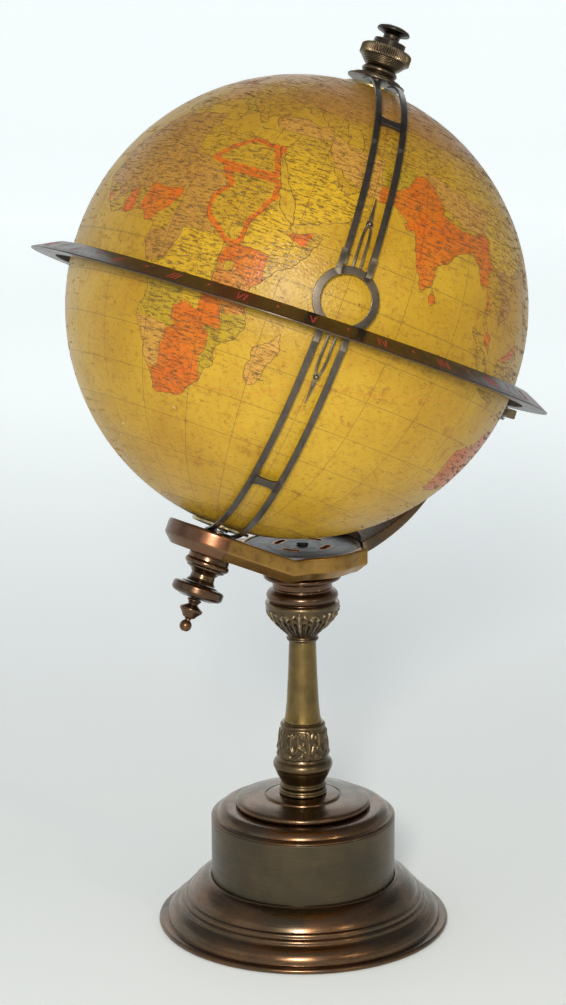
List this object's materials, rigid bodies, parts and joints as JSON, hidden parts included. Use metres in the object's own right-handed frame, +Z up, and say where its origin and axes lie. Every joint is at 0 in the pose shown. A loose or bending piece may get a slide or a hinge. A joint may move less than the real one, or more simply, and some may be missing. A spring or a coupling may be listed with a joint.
{
  "type": "desktop globe on stand",
  "caption": "Terrestrial globe on a tilted spindle with a swinging noon meridian, a fixed hour ring and a turned bronze column on a stepped round base.",
  "frame": {"origin": "on the column's axis at the underside of the base's felt", "axes": "+Z up along the column, +X the way the globe's north pole leans, +Y to the left when looking along +X"},
  "size_m": [0.2775, 0.2968, 0.5106],
  "materials": {
    "felt": "dark green baize",
    "dark_bronze": "brown patinated bronze, waxed, worn brighter on the edges",
    "golden_bronze": "patinated bronze rubbed to a dull gold",
    "blackened_brass": "blackened brass, satin",
    "pale_brass": "bright worn brass",
    "dial_grey": "dull grey, engraved",
    "steel": "dull turned steel",
    "map_paper": "printed map paper under aged amber varnish",
    "papier_mache": "raw card"
  },
  "bodies": {
    "stand": {"felt_pad": "felt", "base_flange": "dark_bronze", "base_drum": "dark_bronze", "base_cap": "dark_bronze", "tie_washer": "steel", "tie_nut": "steel", "tie_rod": "steel", "column_foot": "dark_bronze", "leaf_collar": "golden_bronze", "column_shaft": "golden_bronze", "capital_vase": "golden_bronze", "capital_bead": "dark_bronze", "column_flange": "dark_bronze", "swivel_washer": "pale_brass", "swivel_pin": "steel", "calendar_dial": "dial_grey", "dial_screw": "steel"},
    "head": {"head_casting": "golden_bronze", "ring_arm": "dark_bronze", "arm_screw_left": "steel", "arm_screw_right": "steel", "hour_ring": "blackened_brass", "ring_screw_left": "steel", "ring_screw_right": "steel", "lower_collar": "dark_bronze", "polar_spindle": "steel", "hex_nut": "dark_bronze"},
    "globe": {"globe_north_shell": "map_paper", "globe_south_shell": "map_paper", "north_cap": "pale_brass", "south_cap": "pale_brass", "north_bush": "steel", "south_bush": "steel", "inner_tube": "papier_mache"},
    "meridian": {"north_hub": "dark_bronze", "south_hub": "blackened_brass", "upper_band": "blackened_brass", "lower_band": "blackened_brass", "pointer_ring": "blackened_brass", "upper_pointer": "blackened_brass", "lower_pointer": "blackened_brass"},
    "clamp_nut": {"knurled_nut": "dark_bronze"},
    "top_knob": {"mushroom_knob": "blackened_brass"},
    "lower_knob": {"disc_knob": "dark_bronze"},
    "finial": {"lower_finial": "dark_bronze"}
  },
  "joints": [
    {"name": "head_swivel", "type": "hinge", "parent": "stand", "child": "head", "pos_m": [0, 0, 0.2105], "axis": [0, 0, 1], "continuous": true},
    {"name": "globe_spin", "type": "hinge", "parent": "head", "child": "globe", "pos_m": [-0.0032, 0, 0.3577], "axis": [0.3987, 0, 0.9171], "continuous": true},
    {"name": "meridian_swing", "type": "hinge", "parent": "head", "child": "meridian", "pos_m": [-0.0032, 0, 0.3577], "axis": [0.3987, 0, 0.9171], "continuous": true},
    {"name": "clamp_nut_turn", "type": "hinge", "parent": "head", "child": "clamp_nut", "pos_m": [-0.0032, 0, 0.3577], "axis": [0.3987, 0, 0.9171], "continuous": true},
    {"name": "top_knob_turn", "type": "hinge", "parent": "head", "child": "top_knob", "pos_m": [-0.0032, 0, 0.3577], "axis": [0.3987, 0, 0.9171], "continuous": true},
    {"name": "lower_knob_turn", "type": "hinge", "parent": "head", "child": "lower_knob", "pos_m": [-0.0032, 0, 0.3577], "axis": [0.3987, 0, 0.9171], "continuous": true},
    {"name": "finial_turn", "type": "hinge", "parent": "head", "child": "finial", "pos_m": [-0.0032, 0, 0.3577], "axis": [0.3987, 0, 0.9171], "continuous": true}
  ]
}
